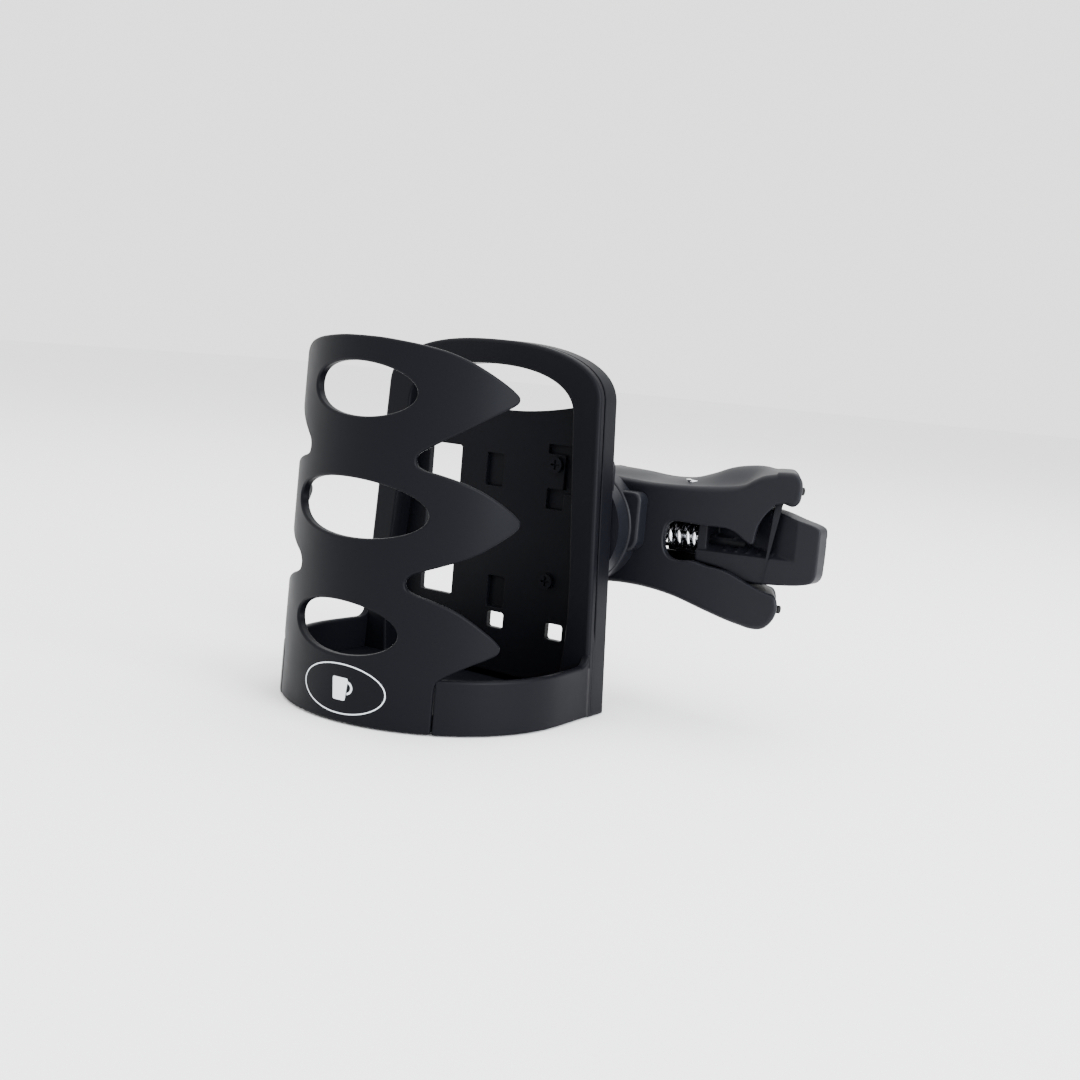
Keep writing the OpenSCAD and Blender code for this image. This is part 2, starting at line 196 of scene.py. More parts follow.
def inside(q, loop):
    """Which of the points q lie inside the loop."""
    x, y = q[:, 0][:, None], q[:, 1][:, None]
    a, b = loop, np.roll(loop, -1, axis=0)
    ax, ay, bx, by = a[:, 0], a[:, 1], b[:, 0], b[:, 1]
    cross = (ay > y) != (by > y)
    with np.errstate(divide="ignore", invalid="ignore"):
        hit = cross & (x < (bx - ax) * (y - ay) / (by - ay) + ax)
    return hit.sum(axis=1) % 2 == 1


def cap(loops, grid):
    """Triangles over the region inside the first loop and outside the rest, with grid points in between."""
    pts = np.vstack(loops)
    edges, start = [], 0
    for loop in loops:
        n = len(loop)
        edges += [(start + i, start + (i + 1) % n) for i in range(n)]
        start += n
    extra = np.zeros((0, 2))
    if grid:
        lo, hi = loops[0].min(axis=0), loops[0].max(axis=0)
        gx = np.arange(lo[0] + grid / 2, hi[0], grid)
        gy = np.arange(lo[1] + grid / 2, hi[1], grid)
        g = np.array([(x + (grid / 2 if j % 2 else 0), y) for j, y in enumerate(gy) for x in gx])
        keep = inside(g, loops[0])
        for hole in loops[1:]:
            keep &= ~inside(g, hole)
        g = g[keep]
        near = np.full(len(g), 1e9)
        for k in range(0, len(pts), 400):
            d = np.linalg.norm(g[:, None, :] - pts[None, k : k + 400, :], axis=2).min(axis=1)
            near = np.minimum(near, d)
        extra = g[near > grid * 0.55]
    every = np.vstack([pts, extra]) if len(extra) else pts
    v, _, f, origin, _, _ = delaunay_2d_cdt([Vector(p) for p in every], edges, [], 0, 1e-7)
    if len(v) > len(every) + 8:
        raise RuntimeError(f"an outline crosses itself: {len(every)} points became {len(v)}")
    index = [o[0] if o else -1 for o in origin]
    f = np.array([[index[i] for i in t] for t in f])
    f = f[(f >= 0).all(axis=1)]
    c = every[f].mean(axis=1)
    keep = inside(c, loops[0])
    for hole in loops[1:]:
        keep &= ~inside(c, hole)
    return extra, f[keep]


def finish_mesh(name, verts, faces, normals, mat, body, slot):
    """Mesh object with its own normals, which rides on a body."""
    me = bpy.data.meshes.new(name)
    me.from_pydata((np.asarray(verts) * MM).tolist(), [], faces)
    me.polygons.foreach_set("use_smooth", [True] * len(me.polygons))
    me.normals_split_custom_set_from_vertices(np.asarray(normals).tolist())
    me.materials.append(mat)
    ob = bpy.data.objects.new(name, me)
    bpy.context.scene.collection.objects.link(ob)
    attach(ob, body)
    return ob


def plate(outer, holes, thick, mapping, front=0.6, back=0.6,
          hole_front=None, hole_back=None, seg=4, walls=1, grid=0.0):
    """Arrays of a slab cut to an outline, its edges rounded to the given radii.
    front and back are one radius or one for each point. mapping takes (u, v, depth) to (x, y, z)."""
    loops = [np.array(outer, float)] + [np.array(h, float) for h in holes]
    verts, normals, faces = [], [], []
    first, last = [], []
    count = 0
    for li, loop in enumerate(loops):
        rf = front if li == 0 or hole_front is None else hole_front
        rb = back if li == 0 or hole_back is None else hole_back
        rf = np.broadcast_to(np.asarray(rf, float), (len(loop),)).copy()
        rb = np.broadcast_to(np.asarray(rb, float), (len(loop),)).copy()
        if (area(loop) > 0) != (li == 0):
            loop, rf, rb = loop[::-1].copy(), rf[::-1], rb[::-1]
        off, unit = inward(loop)
        rows = []
        if rf.max() <= 0:
            rows += [(0 * rf, 0 * rf, 1.0, 0.0), None, (0 * rf, 0 * rf, 0.0, 1.0)]
        else:
            for k in range(seg + 1):
                a = math.pi / 2 * k / seg
                rows.append((rf * (1 - math.sin(a)), rf * (1 - math.cos(a)), math.cos(a), math.sin(a)))
        for k in range(1, walls):
            rows.append((0 * rf, rf + (thick - rf - rb) * k / walls, 0.0, 1.0))
        if rb.max() <= 0:
            rows += [(0 * rb, 0 * rb + thick, 0.0, 1.0), None, (0 * rb, 0 * rb + thick, -1.0, 0.0)]
        else:
            for k in range(seg + 1):
                a = math.pi / 2 * k / seg
                depth = thick - rb + rb * math.sin(a)
                rows.append((rb * (1 - math.cos(a)), depth, -math.sin(a), math.cos(a)))
        n = len(loop)
        previous = None
        for row in rows:
            if row is None:
                previous = None
                continue
            inset, depth, face_n, wall_n = row
            uv = loop + off * inset[:, None]
            verts.append(np.c_[uv, depth])
            normals.append(np.c_[-unit * wall_n, np.full(n, -face_n)])
            index = count + np.arange(n)
            if previous is not None:
                nxt = np.roll(index, -1)
                pn = np.roll(previous, -1)
                faces += np.c_[previous, pn, nxt, index].tolist()
            if not first or len(first) == li:
                first.append((uv, index))
            previous = index
            count += n
        last.append((uv, index))
    for side, normal in ((first, -1.0), (last, 1.0)):
        extra, tri = cap([s[0] for s in side], grid)
        ids = np.concatenate([s[1] for s in side])
        if len(extra):
            depth = 0.0 if normal < 0 else thick
            verts.append(np.c_[extra, np.full(len(extra), depth)])
            normals.append(np.tile([0.0, 0.0, normal], (len(extra), 1)))
            ids = np.concatenate([ids, count + np.arange(len(extra))])
            count += len(extra)
        faces += ids[tri].tolist()
    v, nrm = np.vstack(verts), np.vstack(normals)
    nudge = 1e-3
    p = np.array(mapping(v[:, 0], v[:, 1], v[:, 2])).T
    tu = np.array(mapping(v[:, 0] + nudge, v[:, 1], v[:, 2])).T - p
    tv = np.array(mapping(v[:, 0], v[:, 1] + nudge, v[:, 2])).T - p
    tw = np.array(mapping(v[:, 0], v[:, 1], v[:, 2] + nudge)).T - p
    sign = np.sign(np.sum(np.cross(tu, tv) * tw, axis=1))[:, None]
    n3 = nrm[:, :1] * np.cross(tv, tw) + nrm[:, 1:2] * np.cross(tw, tu) + nrm[:, 2:] * np.cross(tu, tv)
    n3 *= sign
    n3 /= np.linalg.norm(n3, axis=1)[:, None] + 1e-20
    fixed = []
    for f in faces:
        a, b, c = p[f[0]], p[f[1]], p[f[2]]
        g = np.cross(b - a, c - a) if len(f) == 3 else np.cross(c - a, p[f[3]] - b)
        fixed.append(f[::-1] if g @ n3[f].sum(axis=0) < 0 else f)
    return p, fixed, n3


def join(parts):
    """Several plates as one mesh."""
    v, f, n, k = [], [], [], 0
    for p, faces, nrm in parts:
        v.append(p)
        n.append(nrm)
        f += [[i + k for i in face] for face in faces]
        k += len(p)
    return np.vstack(v), f, np.vstack(n)


def piece(name, parts, mat, body, slot, *nodes):
    """One object made of several plates. It can take the place of CAD nodes."""
    ob = finish_mesh(name, *join(parts), mat, body, slot)
    if nodes:
        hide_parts(*nodes)
    return ob


def along_y(y0):
    """Puts an outline drawn in (x, z) at y0, with its depth towards +Y."""
    return lambda u, v, w: (u, y0 + w, v)


# ---------------------------------------------------------------- materials


def new_material(name):
    """A material, its node tree and its one Principled shader."""
    m = bpy.data.materials.new(name)
    m.use_nodes = True
    nt = m.node_tree
    nt.nodes.clear()
    out = nt.nodes.new("ShaderNodeOutputMaterial")
    bsdf = nt.nodes.new("ShaderNodeBsdfPrincipled")
    nt.links.new(bsdf.outputs["BSDF"], out.inputs["Surface"])
    return m, nt, bsdf


def noise(nt, coord, scale, detail=2.0, rough=0.5):
    """Noise in the object's own space."""
    n = nt.nodes.new("ShaderNodeTexNoise")
    n.inputs["Scale"].default_value = scale
    n.inputs["Detail"].default_value = detail
    n.inputs["Roughness"].default_value = rough
    nt.links.new(coord.outputs["Object"], n.inputs["Vector"])
    return n


def remap(nt, source, lo, hi):
    """Spreads the middle of a noise's range over lo to hi."""
    r = nt.nodes.new("ShaderNodeMapRange")
    r.inputs["From Min"].default_value = 0.3
    r.inputs["From Max"].default_value = 0.7
    r.inputs["To Min"].default_value = lo
    r.inputs["To Max"].default_value = hi
    nt.links.new(source, r.inputs["Value"])
    return r


def plastic(name, colour, rough, grain=1800.0, depth=0.000012, spec=0.5):
    """Moulded plastic: a fine spark-eroded grain and a slightly uneven sheen."""
    m, nt, b = new_material(name)
    coord = nt.nodes.new("ShaderNodeTexCoord")
    b.inputs["Base Color"].default_value = (*colour, 1)
    b.inputs["Specular IOR Level"].default_value = spec
    b.inputs["IOR"].default_value = 1.5
    broad = noise(nt, coord, 60.0, 3.0)
    r = remap(nt, broad.outputs["Fac"], rough - 0.04, rough + 0.05)
    nt.links.new(r.outputs["Result"], b.inputs["Roughness"])
    fine = noise(nt, coord, grain, 3.0, 0.6)
    bump = nt.nodes.new("ShaderNodeBump")
    bump.inputs["Strength"].default_value = 0.35
    bump.inputs["Distance"].default_value = depth
    nt.links.new(fine.outputs["Fac"], bump.inputs["Height"])
    nt.links.new(bump.outputs["Normal"], b.inputs["Normal"])
    return m


def metal(name, colour, rough):
    """Bare metal with a slightly uneven sheen."""
    m, nt, b = new_material(name)
    coord = nt.nodes.new("ShaderNodeTexCoord")
    b.inputs["Base Color"].default_value = (*colour, 1)
    b.inputs["Metallic"].default_value = 1.0
    n = noise(nt, coord, 900.0, 4.0)
    r = remap(nt, n.outputs["Fac"], rough * 0.8, rough * 1.25)
    nt.links.new(r.outputs["Result"], b.inputs["Roughness"])
    return m


# name, colour, roughness, grain scale, grain depth in metres, specular level
BLACK = plastic("black_moulding", (0.0028, 0.0030, 0.0044), 0.44, 1800.0, 0.000012, 0.06)
CLAMP = plastic("clamp_moulding", (0.0044, 0.0047, 0.0070), 0.47, 2200.0, 0.000014, 0.14)
RUBBER = plastic("soft_rubber", (0.004, 0.004, 0.0044), 0.68, 2600.0, 0.00002, 0.08)
STEEL = metal("dark_steel", (0.20, 0.20, 0.215), 0.34)
BRIGHT = metal("bright_steel", (0.78, 0.79, 0.82), 0.16)
PRINT = plastic("pale_print", (0.62, 0.66, 0.70), 0.5, 1500.0, 0.000004)

# ---------------------------------------------------------------- front cage

# radius at the foot and at the crown, height and wall thickness of the cage
R0, R1, HEIGHT, WALL = 44.5, 42.3, 104.0, 2.4
# where the cage's foot ends on each side, in degrees from the front, and its gap to the tray
SEAM, SEAM_GAP = 38.5, 0.45


def cage_map(u, v, w):
    """Arc length u and height v on the cage's slightly conical outside, w deep into its wall."""
    a = u / R0
    r = R0 + (R1 - R0) * v / HEIGHT - w
    return r * np.sin(a), -r * np.cos(a), v


def deg(a):
    """Arc length of an angle in degrees."""
    return math.radians(a) * R0


def cage_outline():
    """Right edge from the crown down to the seam, as (arc length, height)."""
    pts = [
        # crown and upper finger
        (0, 103.9), (8, 103.8), (17, 103.3), (26, 102.55), (35, 101.3), (42, 99.6), (48, 97.6),
        (55, 94.8), (60, 92.4), (62.0, 90.9), (61.9, 89.7), (60, 88.5), (54, 86.1), (47, 83.2),
        (40, 80.2), (34, 77.7), (29.5, 75.7), (26.9, 74.3), (26.1, 72.9),
        # middle finger
        (26.6, 71.3), (28.8, 70.3), (35, 69.3), (42, 68.0), (48, 66.5), (53, 64.8), (59, 62.2),
        (63.6, 59.7), (65.6, 58.1), (65.5, 56.7), (62.6, 54.6), (57, 51.9), (51, 49.2), (44, 46.9),
        (37, 45.0), (31, 43.4), (27.4, 42.2), (25.6, 40.3),
        # lower finger and seam
        (26.2, 38.5), (29.5, 37.2), (36, 35.8), (44, 33.6), (50, 31.0), (55, 28.4), (59.3, 25.9),
        (61.2, 24.1), (60.8, 22.5), (57.5, 21.1), (51, 19.1), (46, 17.4), (41.8, 15.7), (39.6, 14.4),
        (38.7, 12.9), (SEAM, 11.0),
    ]
    right = even(curve([(deg(a), z) for a, z in pts]), 0.5, closed=False)
    t = np.linspace(0, math.pi / 2, 6)
    r = 0.9
    foot = np.c_[deg(SEAM) - r + r * np.cos(t), r - r * np.sin(t)]
    right = np.vstack([right, foot])
    left = right[::-1][:-1].copy()
    left[:, 0] *= -1
    return dense(np.vstack([right, left]), 0.6)


ovals = [
    ellipse(deg(0.0), 89.85, deg(24.6), 7.3),
    ellipse(deg(0.0), 58.15, deg(32.0), 8.0),
    ellipse(deg(0.0), 25.6, deg(24.2), 7.3),
]
piece(
    "cage_shell",
    [plate(cage_outline(), ovals, WALL, cage_map, 0.75, 0.6, 0.7, 0.6, seg=4, grid=1.6)],
    BLACK, "cage", "black_plastic", "front_cage",
)

# thickness of the print, then the oval ring's half width, half height and line
INK, BADGE_A, BADGE_B, BADGE_LINE = 0.05, 14.0, 6.9, 0.34


def badge_map(u, v, w):
    """The printed layer stands a little proud of the cage."""
    return cage_map(u, v, w - 0.03)


bx, bz = deg(4.0), 9.2
ring_out = ellipse(bx, bz, BADGE_A, BADGE_B, 72)
ring_in = ellipse(bx, bz, BADGE_A - BADGE_LINE, BADGE_B - BADGE_LINE, 72)
cup_corners = [(bx - 2.8, bz + 3.1), (bx + 2.4, bz + 3.1), (bx + 1.8, bz - 3.1), (bx - 2.2, bz - 3.1)]
cup = dense(filleted(cup_corners, 0.5, 0.1), 0.5)
sweep = np.radians(np.linspace(-78, 78, 24))
bow = np.c_[np.cos(sweep), np.sin(sweep)]
handle = np.vstack([bow * [2.0, 1.9], (bow * [1.4, 1.3])[::-1]]) + [bx + 2.0, bz + 0.5]
piece(
    "cage_badge",
    [
        plate(ring_out, [ring_in], INK, badge_map, 0, 0),
        plate(cup, [], INK, badge_map, 0, 0, grid=0.6),
        plate(handle, [], INK, badge_map, 0, 0),
    ],
    PRINT, "cage", "black_plastic",
)

# ---------------------------------------------------------------- back frame and tray

# front face, back face and recessed wall of the frame, along Y
FY, BY, RY = 16.2, 26.0, 23.6
# where the rear housing starts along Y, and how deep its pockets are
HOUSING_Y, POCKET = 19.4, 1.4
# half width at the foot and the shoulder, height of the shoulder and the crown, power of the arch
FOOT_W, SHOULDER_W, SHOULDER_Z, CROWN_Z, ARCH = 44.2, 39.4, 89.4, 106.3, 2.4


def frame_half(inset):
    return half_arch(FOOT_W - inset, 0.0, SHOULDER_W - inset, SHOULDER_Z, CROWN_Z - inset, ARCH)


def frame_loop(inset=0.0, fade=False):
    """Outline of the frame. With fade, the inset grows from nothing just above the tray."""
    h = frame_half(inset)
    if fade:
        full = frame_half(0.0)
        t = smooth((full[:, 1] - 20) / 14)[:, None]
        match = np.linspace(0, len(h) - 1, len(full)).astype(int)
        h = full * (1 - t) + even(h, 0.8, closed=False)[match] * t
    return both(h)


def opening_loop():
    """Inside edge of the arched rim."""
    low = curve([(33.0, 5.0), (33.9, 16), (34.5, 26), (34.0, 40.0)])
    arch = half_arch(34.0, 40.0, 30.4, 85.0, 99.0, ARCH)
    return both(even(np.vstack([low[:-1], arch]), 0.8, closed=False))


def smile_z(x):
    """Dipped top edge of the recessed wall."""
    return 85.4 + 3.7 * (np.abs(x) / 29.2) ** 2


def top_window():
    """The arched opening above the recessed wall: the rim's arch and the wall's dipped edge."""
    h = half_arch(31.0, 80.0, 30.4, 85.0, 99.0, ARCH, 0.5)
    h = h[h[:, 1] > smile_z(h[:, 0]) + 0.02]
    x = np.linspace(0, h[0, 0], 40)[:-1]
    low = np.c_[x, smile_z(x)]
    right = np.vstack([low, h])
    left = right[::-1][1:-1].copy()
    left[:, 0] *= -1
    return even(np.vstack([right, left]), 0.6)


windows = [box2(-26.5, -14, 26, 73, 0.9)]
for x0 in (0.7, 22.5):
    windows.append(box2(x0, x0 + 6, 18.5, 23.4, 0.8, 0.7))
hook_pocket = [
    (18.4, 76.8), (18.4, 74.0), (24.6, 74.0), (24.6, 63.6), (19.0, 63.6),
    (19.0, 57.6), (25.0, 57.6), (25.0, 62.6), (28.2, 62.6), (28.2, 76.8),
]
pockets = [
    dense(filleted(hook_pocket, 0.4), 0.8),
    box2(-4.0, 2.4, 62, 72, 0.6),
    box2(0.0, 6.3, 24.8, 34.4, 0.6),
]
outer = frame_loop()
piece(
    "frame_rim",
    [
        plate(outer, [opening_loop()], 2.6, along_y(FY), 1.25, 0.3, 0.8, 0.2, seg=5),
        plate(frame_loop(1.2, True), [opening_loop()], 1.1, along_y(18.7), 0, 0),
    ],
    BLACK, "holder", "black_plastic",
)
piece(
    "housing_shell",
    [
        plate(outer, [opening_loop()], RY - HOUSING_Y, along_y(HOUSING_Y), 0.3, 0, 0.2, 0),
        plate(outer, [top_window()] + windows + pockets, POCKET, along_y(RY), 0, 0, 0.25, 0),
        plate(outer, [top_window()] + windows, BY - RY - POCKET, along_y(RY + POCKET), 0, 1.0, 0, 0.4, seg=5),
    ],
    BLACK, "holder", "black_plastic", "rear_housing",
)

TRAY_TOP, FLOOR_TOP, FLOOR_R = 15.0, 5.0, 41.9
# how far the tray's side leans in for each millimetre of height, and how much more at the back
LEAN, BACK_LEAN = 0.0212, 0.0325


def side_x(y, z):
    """Half width of the tray's outside: round at the front, leaning in like the frame at the back."""
    t = smooth(y / 16.0)
    return (R0 - 0.3 * t) - z * (LEAN + BACK_LEAN * t)


def tray_map(u, v, w):
    """Plan (u, v) of the tray's wall, w down from its top."""
    z = TRAY_TOP - w
    k = np.where(v > 0, side_x(v, z) / side_x(v, 0 * z), (R0 - LEAN * z) / R0)
    return u * k, np.where(v > 0, v, v * k), z


def tray_wall():
    """Plan of the right wall: from the seam round to the frame, then back along the inside."""
    a = np.radians(np.linspace(SEAM + SEAM_GAP, 90, 60))
    out = [(R0 * math.sin(t), -R0 * math.cos(t)) for t in a]
    y = np.linspace(1, 17.4, 14)
    out += [(float(side_x(np.array(q), 0.0)), q) for q in y]
    back = [(x - WALL, q) for x, q in out[-14:]][::-1]
    back += [((R0 - WALL) * math.sin(t), -(R0 - WALL) * math.cos(t)) for t in a[::-1]]
    radii = [0.5] + [0] * (len(out) + len(back) - 2) + [0.5]
    return dense(filleted(out + back, radii, 0.2), 0.9)


wall_r = tray_wall()
wall_l = wall_r * [-1, 1]


def gusset(sign):
    """Fillet where the tray's wall runs up into the frame."""
    t = np.linspace(0, math.pi / 2, 14)
    arc = [(12.7 + 3.6 * math.sin(q), 14.98 + 3.6 * (1 - math.cos(q))) for q in t]
    loop = dense(filleted([(12.2, 12.0), (12.2, 14.9)] + arc + [(17.2, 18.6), (17.2, 12.0)], 0), 0.5)
    return plate(loop, [], 2.3, lambda u, v, w: (sign * (side_x(u, v) - 0.02 - w), u, v), 0.8, 0.6, seg=3)


floor_turn = np.radians(np.linspace(-90, 90, 90))
floor_arc = [(FLOOR_R * math.sin(t), -FLOOR_R * math.cos(t)) for t in floor_turn]
floor_back = [(FLOOR_R, 16.6), (33.4, 16.6), (33.4, 23.8), (-33.4, 23.8), (-33.4, 16.6), (-FLOOR_R, 16.6)]
floor_loop = dense(floor_arc + floor_back, 1.2)
piece(
    "tray_shell",
    [
        plate(wall_r, [], TRAY_TOP, tray_map, 0.85, 0.4, seg=4, walls=2),
        plate(wall_l, [], TRAY_TOP, tray_map, 0.85, 0.4, seg=4, walls=2),
        plate(floor_loop, [], FLOOR_TOP, lambda u, v, w: (u, v, FLOOR_TOP - w), 0.2, 0.3),
        gusset(1.0),
        gusset(-1.0),
    ],
    BLACK, "holder", "black_plastic", "back_frame",
)

# ---------------------------------------------------------------- clamp

# swivel axis, then the near face, the cover's joint and the cover's far face along Y
SX, SZ, NY, CY, FAR = 26.0, 53.5, 37.8, 51.5, 53.8
SPRING_Y, ROD_BORE = 44.8, 1.9
# the arm tips are set back by this much for each millimetre of depth, from TIP_X over TIP_RUN
TIP_SLANT, TIP_X, TIP_RUN, COVER_SET_BACK = 0.53, 71, 18, 7.6
# hub radius, layers of the fork along Y, and the slot for the moving jaw's stem
HUB_R, LAYER_2, LAYER_3, LAYER_4 = 17.4, 39.9, 44.0, 48.9
STEM_X, STEM_LOW, STEM_HIGH = 36.0, 47.5, 59.5

# top edge of the fork on its far side and on its near side
top_far = curve([
    (26, 70.9), (36, 70.6), (46, 70.0), (54, 70.7), (60, 72.6),
    (66, 75.0), (72, 76.2), (79, 76.35), (86, 76.0),
])
top_near = curve([
    (26, 69.4), (36, 68.6), (46, 68.3), (54, 68.5), (62, 68.9),
    (70, 69.7), (75.5, 70.9), (79, 72.9), (82, 74.4), (86, 75.4),
])


def fork_drop(x):
    """How far the near top edge lies below the far one."""
    far = np.interp(x, top_far[:, 0], top_far[:, 1])
    near = np.interp(x, top_near[:, 0], top_near[:, 1])
    return np.where((x < 26) | (x > 86), 0.0, far - near) * smooth((x - 24) / 10)


def fork_map(y0):
    """The near top edge is scooped for a finger, and both arm tips are set back towards the far side."""
    def f(u, v, w):
        y = y0 + w
        t = smooth((v - 57) / 12)
        s = 1 - smooth((y - 37.0) / 14.5)
        low = smooth((46 - v) / 8) * smooth((u - 40) / 25) * (1 - smooth((u - 78) / 8))
        x = u - TIP_SLANT * (y - NY) * smooth((u - TIP_X) / TIP_RUN)
        return x, y, v - fork_drop(u) * t * s + 0.6 * low * s
    return f


def outer_edge():
    """Outside of the fork from the mouth's upper lip, over the top and hub, to the lower lip."""
    tip = curve([
        (89.0, 67.4), (92.0, 66.9), (93.7, 68.2), (94.2, 70.9),
        (93.9, 74.2), (92.0, 76.2), (89.2, 76.3), (86.0, 76.0),
    ])
    top = top_far[::-1]
    a = np.radians(np.linspace(88, 272, 60))
    hub = np.c_[SX + HUB_R * np.cos(a), SZ + HUB_R * np.sin(a)]
    low = curve([
        (30, 36.3), (40, 37.0), (47, 36.8), (55.5, 35.6), (66.4, 32.9), (76.5, 30.8),
        (82.5, 30.4), (87.0, 31.6), (89.8, 35.0), (90.4, 38.6), (89.3, 41.1), (86.4, 41.8),
    ])
    return np.vstack([tip, top[1:], hub, low])


def mouth_edge():
    """Edge of the near wall's slot and mouth, from the lower lip round to the upper lip."""
    return curve([
        (84.5, 42.1), (80.0, 43.4), (73.1, 45.8), (66.5, 46.5), (61.5, 47.2), (56.6, 46.7), (53.6, 47.6),
        (52.0, 50.2), (51.8, 53.6), (52.6, 56.6), (54.6, 58.0), (60.3, 58.2), (65.9, 58.3), (72.0, 58.5),
        (75.0, 57.4), (78.4, 55.4), (80.6, 54.9), (81.2, 57.6), (82.0, 61.2), (84.0, 64.8), (86.6, 66.9),
    ])


def cavity_edge(stem=False):
    """Edge of the space inside the fork, with or without the slot for the jaw's stem."""
    low = [(84.5, 41.8), (41.0, 41.7), (40.0, 42.7)]
    notch = [(40.0, STEM_LOW), (STEM_X, STEM_LOW), (STEM_X, STEM_HIGH), (40.0, STEM_HIGH)]
    high = [(40.0, 64.3), (41.0, 65.3), (84.0, 65.3), (86.6, 66.9)]
    return dense(low + (notch if stem else []) + high, 1.2)


def fork_loop(edge):
    loop = np.vstack([outer_edge(), edge])
    return even(loop, 0.55)


def soft(loop, big, small):
    """Large radius on the outside of the fork, small round the mouth."""
    out = outer_edge()
    r = np.empty(len(loop))
    for i, p in enumerate(loop):
        d = np.abs(out - p).sum(axis=1).min()
        r[i] = big if d < 0.6 else small
    k = 9
    pad = np.r_[r[-k:], r, r[:k]]
    return np.convolve(pad, np.ones(2 * k + 1) / (2 * k + 1), "same")[k:-k]


near_loop = fork_loop(mouth_edge())
deep_loop = fork_loop(cavity_edge())
stem_loop = fork_loop(cavity_edge(stem=True))
near_edge = soft(near_loop, 1.7, 0.55)
stem_edge = soft(stem_loop, 0.25, 0.1)
hub_hole = circle(SX, SZ, 8.0, 64)
knuckle = dense(filleted([(30, 47.5), (45.6, 47.5), (45.6, 65.2), (30, 65.2)], [1, 4.0, 2.6, 1]), 0.8)
piece(
    "clamp_shell",
    [
        plate(near_loop, [], LAYER_2 - NY, fork_map(NY), near_edge, 0, seg=6),
        plate(deep_loop, [], LAYER_3 - LAYER_2, fork_map(LAYER_2), 0, 0, walls=4),
        plate(deep_loop, [hub_hole], LAYER_4 - LAYER_3, fork_map(LAYER_3), 0, 0, walls=4),
        plate(stem_loop, [hub_hole], CY - LAYER_4, fork_map(LAYER_4), 0, stem_edge, 0, 0.1, walls=3),
        plate(circle(SX, SZ, 17.5), [], 5.6, along_y(32.6), 0.9, 0),
        plate(knuckle, [], 4.6, along_y(33.3), 1.0, 0),
    ],
    CLAMP, "clamp", "clamp_plastic", "clamp_body",
)

cover_edge = [
    (84.5, 42.0), (77.0, 44.5), (73.4, 50.0), (73.4, 58.0), (77.0, 63.5), (85.0, 66.4), (86.8, 67.0),
]
cover_loop = fork_loop(dense(cover_edge, 1.0))
cover_loop[:, 0] -= COVER_SET_BACK * smooth((cover_loop[:, 0] - TIP_X) / TIP_RUN)
cover_screws = ((44.0, 67.4), (75.0, 69.6), (44.0, 39.4), (75.0, 37.2))
cover_holes = [box2(STEM_X, 60.0, STEM_LOW, STEM_HIGH, 0.6), hub_hole]
cover_holes += [circle(x, z, 2.15, 32) for x, z in cover_screws]
jaw_corners = [(53.7, 46.0), (72.0, 46.0), (72.0, 61.0), (53.7, 61.0)]
jaw_loop = dense(filleted(jaw_corners, [0.2, 1.0, 1.0, 0.2]), 0.8)
piece(
    "clamp_cover_shell",
    [
        plate(cover_loop, cover_holes, FAR - CY, along_y(CY), 0.1, 0.7, 0, 0.25, seg=5),
        plate(jaw_loop, [], 3.5, lambda u, v, w: (65.5 + w, u, v), 0.5, 0.5),
        plate(box2(65.5, 72.5, 46.0, 50.0, 0.6), [], 6.3, along_y(53.7), 0, 0.5),
    ],
    CLAMP, "clamp", "clamp_plastic", "clamp_cover",
)

# ---------------------------------------------------------------- thumb slide


def solid(name, verts, faces):
    """A plain mesh used as a tool for cutting or joining."""
    me = bpy.data.meshes.new(name)
    me.from_pydata((np.asarray(verts, float) * MM).tolist(), [], [list(map(int, f)) for f in faces])
    ob = bpy.data.objects.new(name, me)
    bpy.context.scene.collection.objects.link(ob)
    return ob


def bar_faces(n):
    """Both ends and the sides of a bar between two rings of n points."""
    sides = [[i, (i + 1) % n, n + (i + 1) % n, n + i] for i in range(n)]
    return [list(range(n))[::-1], list(range(n, 2 * n))] + sides


def prism(name, plan, low, high):
    """Upright prism over a plan polygon, its foot at height low(x, y) and its head at high(x, y)."""
    v = [(x, y, low(x, y)) for x, y in plan] + [(x, y, high(x, y)) for x, y in plan]
    return solid(name, v, bar_faces(len(plan)))


def level_at(z):
    return lambda x, y: z


def combine(base, others, operation):
    """Cuts the other solids from the base or joins them to it, and removes them."""
    for other in others:
        mod = base.modifiers.new("tool", "BOOLEAN")
        mod.operation = operation
        mod.solver = "EXACT"
        mod.object = other
    bake(base)
    for other in others:
        bpy.data.objects.remove(other, do_unlink=True)


def bake(ob):
    """Applies an object's modifiers."""
    dg = bpy.context.evaluated_depsgraph_get()
    dg.update()
    me = bpy.data.meshes.new_from_object(ob.evaluated_get(dg))
    ob.modifiers.clear()
    ob.data = me


def soften(ob, voxel, rounds, factor=0.5):
    """Remeshes to an even grid and smooths it, which rounds every edge a little."""
    mod = ob.modifiers.new("grid", "REMESH")
    mod.mode = "VOXEL"
    mod.voxel_size = voxel * MM
    bake(ob)
    mod = ob.modifiers.new("ease", "SMOOTH")
    mod.factor = factor
    mod.iterations = rounds
    bake(ob)
    ob.data.polygons.foreach_set("use_smooth", [True] * len(ob.data.polygons))


tongue = even(curve([
    (61.8, 47.4), (63.6, 47.0), (70.2, 46.2), (75.5, 44.2), (79.4, 43.5), (84.0, 43.7), (90.0, 44.3),
    (95.4, 45.2), (98.2, 46.2), (99.4, 48.0), (99.6, 51.0), (99.6, 58.0), (99.4, 61.2), (98.4, 62.0),
    (92.0, 63.3), (84.0, 64.8), (70.0, 64.8), (62.4, 64.8), (61.8, 63.5), (61.8, 55.0),
], closed=True), 0.5)
tongue_points, tongue_faces, _ = plate(tongue, [], 11.3, along_y(40.1), 0.5, 0.4, seg=3)
slide = solid("thumb_slide_shell", tongue_points, tongue_faces)


